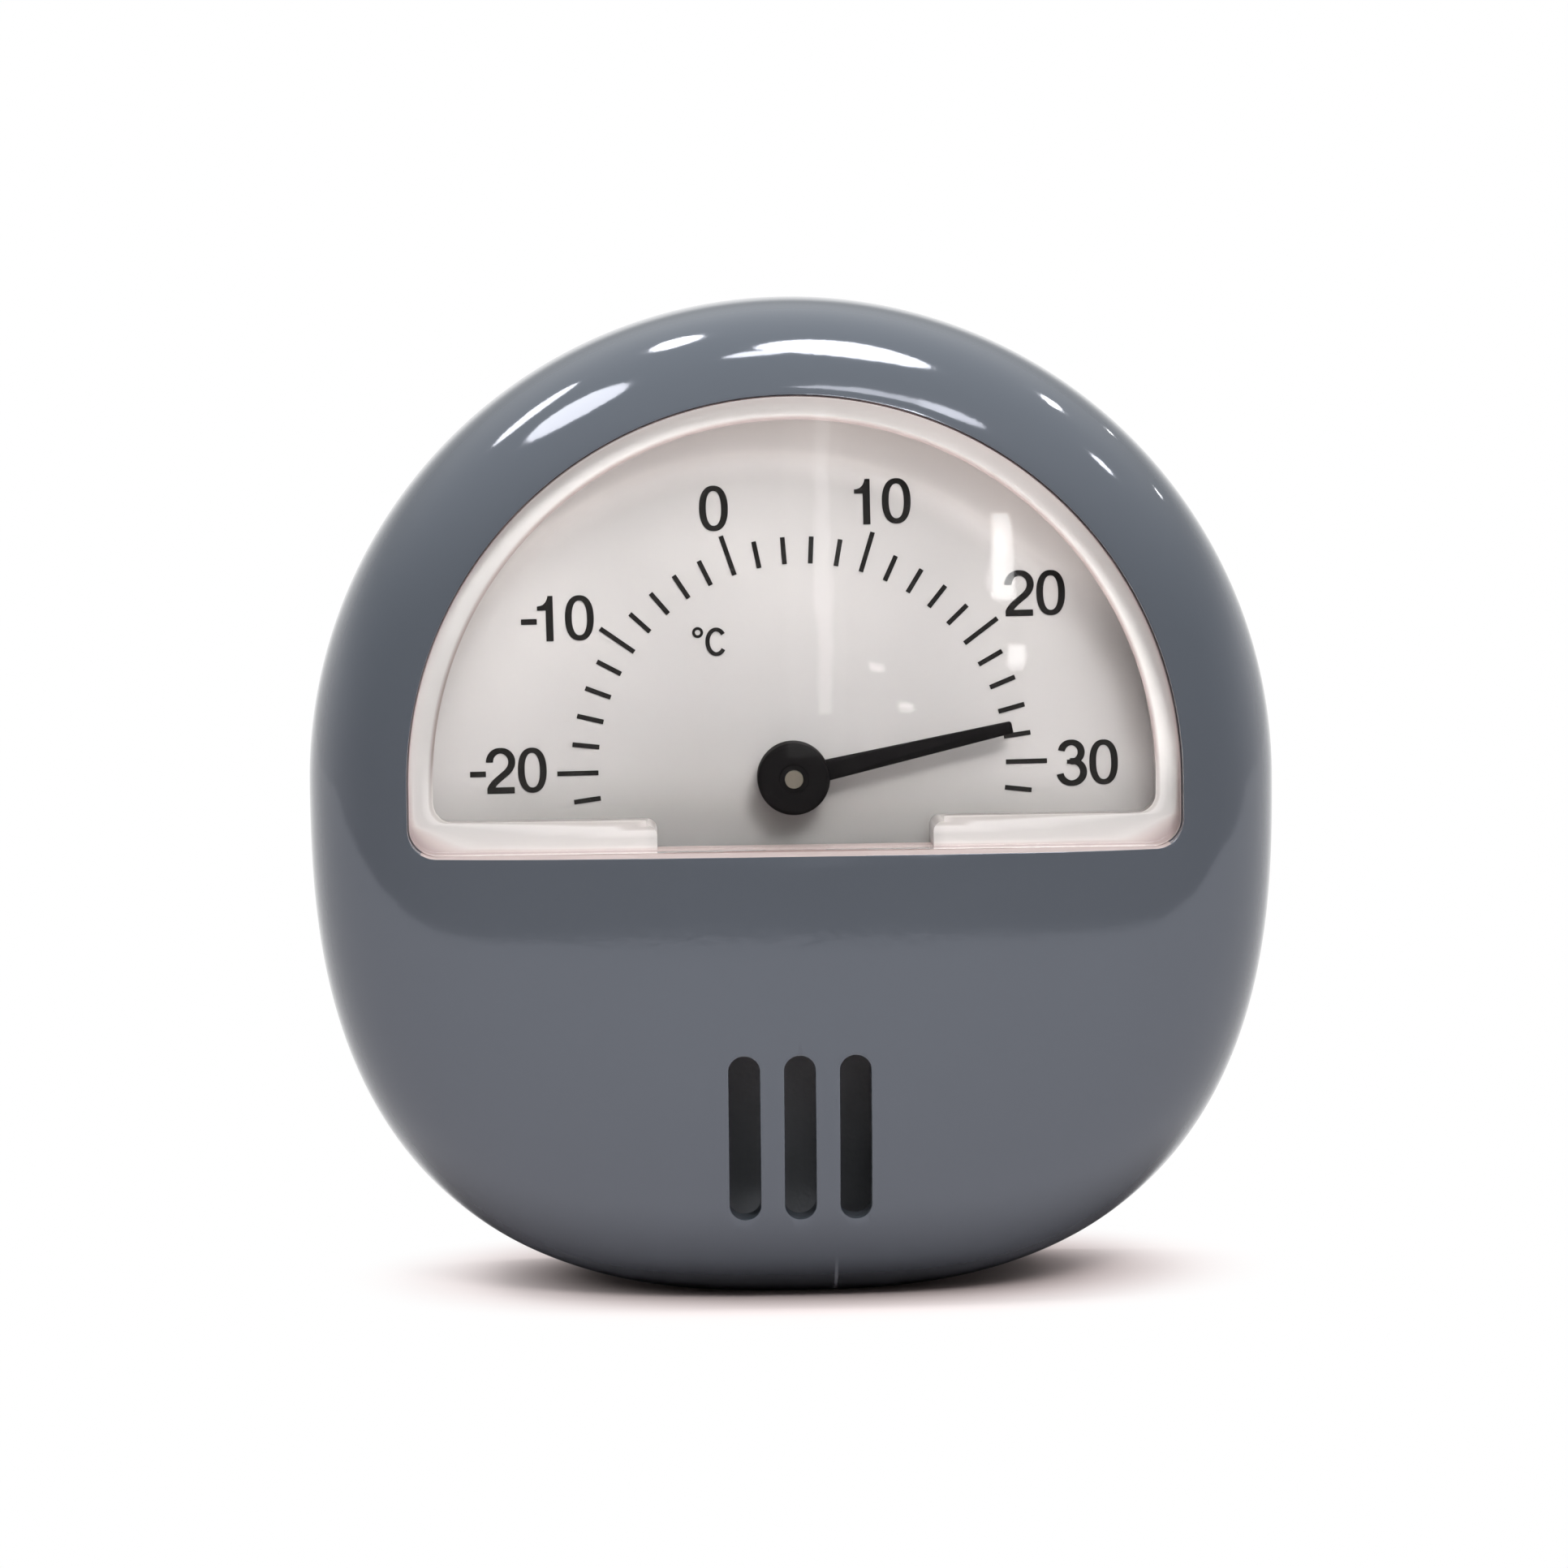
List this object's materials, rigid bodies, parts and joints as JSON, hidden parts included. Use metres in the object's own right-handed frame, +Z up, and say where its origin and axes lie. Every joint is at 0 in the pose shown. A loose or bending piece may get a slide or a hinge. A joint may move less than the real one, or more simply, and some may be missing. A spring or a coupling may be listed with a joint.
{
  "type": "fridge thermometer",
  "caption": "Domed round-shouldered fridge thermometer with a recessed half-moon window, a printed semicircular scale, a turning pointer and air slots below.",
  "frame": {"origin": "on the floor under the middle of the case", "axes": "+Z up, the dial faces -Y, +X to the right as the dial is read"},
  "size_m": [0.065, 0.024, 0.0668],
  "materials": {
    "shell": "smooth gloss blue-grey moulding",
    "lens": "clear polished moulding",
    "card": "pale printed sheet",
    "ink": "printed black",
    "plate": "plain stamped sheet",
    "screws": "plated",
    "brass": "turned",
    "bridge": "plain stamped sheet",
    "bimetal": "rolled strip",
    "arbor": "ground",
    "clip": "dark spring steel",
    "pointer": "black, half gloss",
    "cover": "fine matt grey moulding"
  },
  "bodies": {
    "case": {"front_shell": "shell", "window_lens": "lens", "dial_card": "card", "scale_marks": "ink", "dial_plate": "plate", "dial_screws": "screws", "front_bush": "brass", "movement_bridge": "bridge", "bridge_screws": "screws", "rear_bush": "brass", "setting_lever": "bridge", "coil_post": "brass", "bimetal_coil": "bimetal", "back_cover": "cover", "cover_screws": "screws"},
    "pointer_assembly": {"pointer": "pointer", "arbor": "arbor", "coil_collet": "brass", "arbor_washer": "arbor", "arbor_clip": "clip"}
  },
  "joints": [
    {"name": "pointer_turn", "type": "hinge", "parent": "case", "child": "pointer_assembly", "pos_m": [0, 0, 0.03495], "axis": [0, 1, 0], "range_deg": [-174, 17], "stiffness_Nm_per_rad": 0.0001, "deforming": ["bimetal_coil"]}
  ]
}
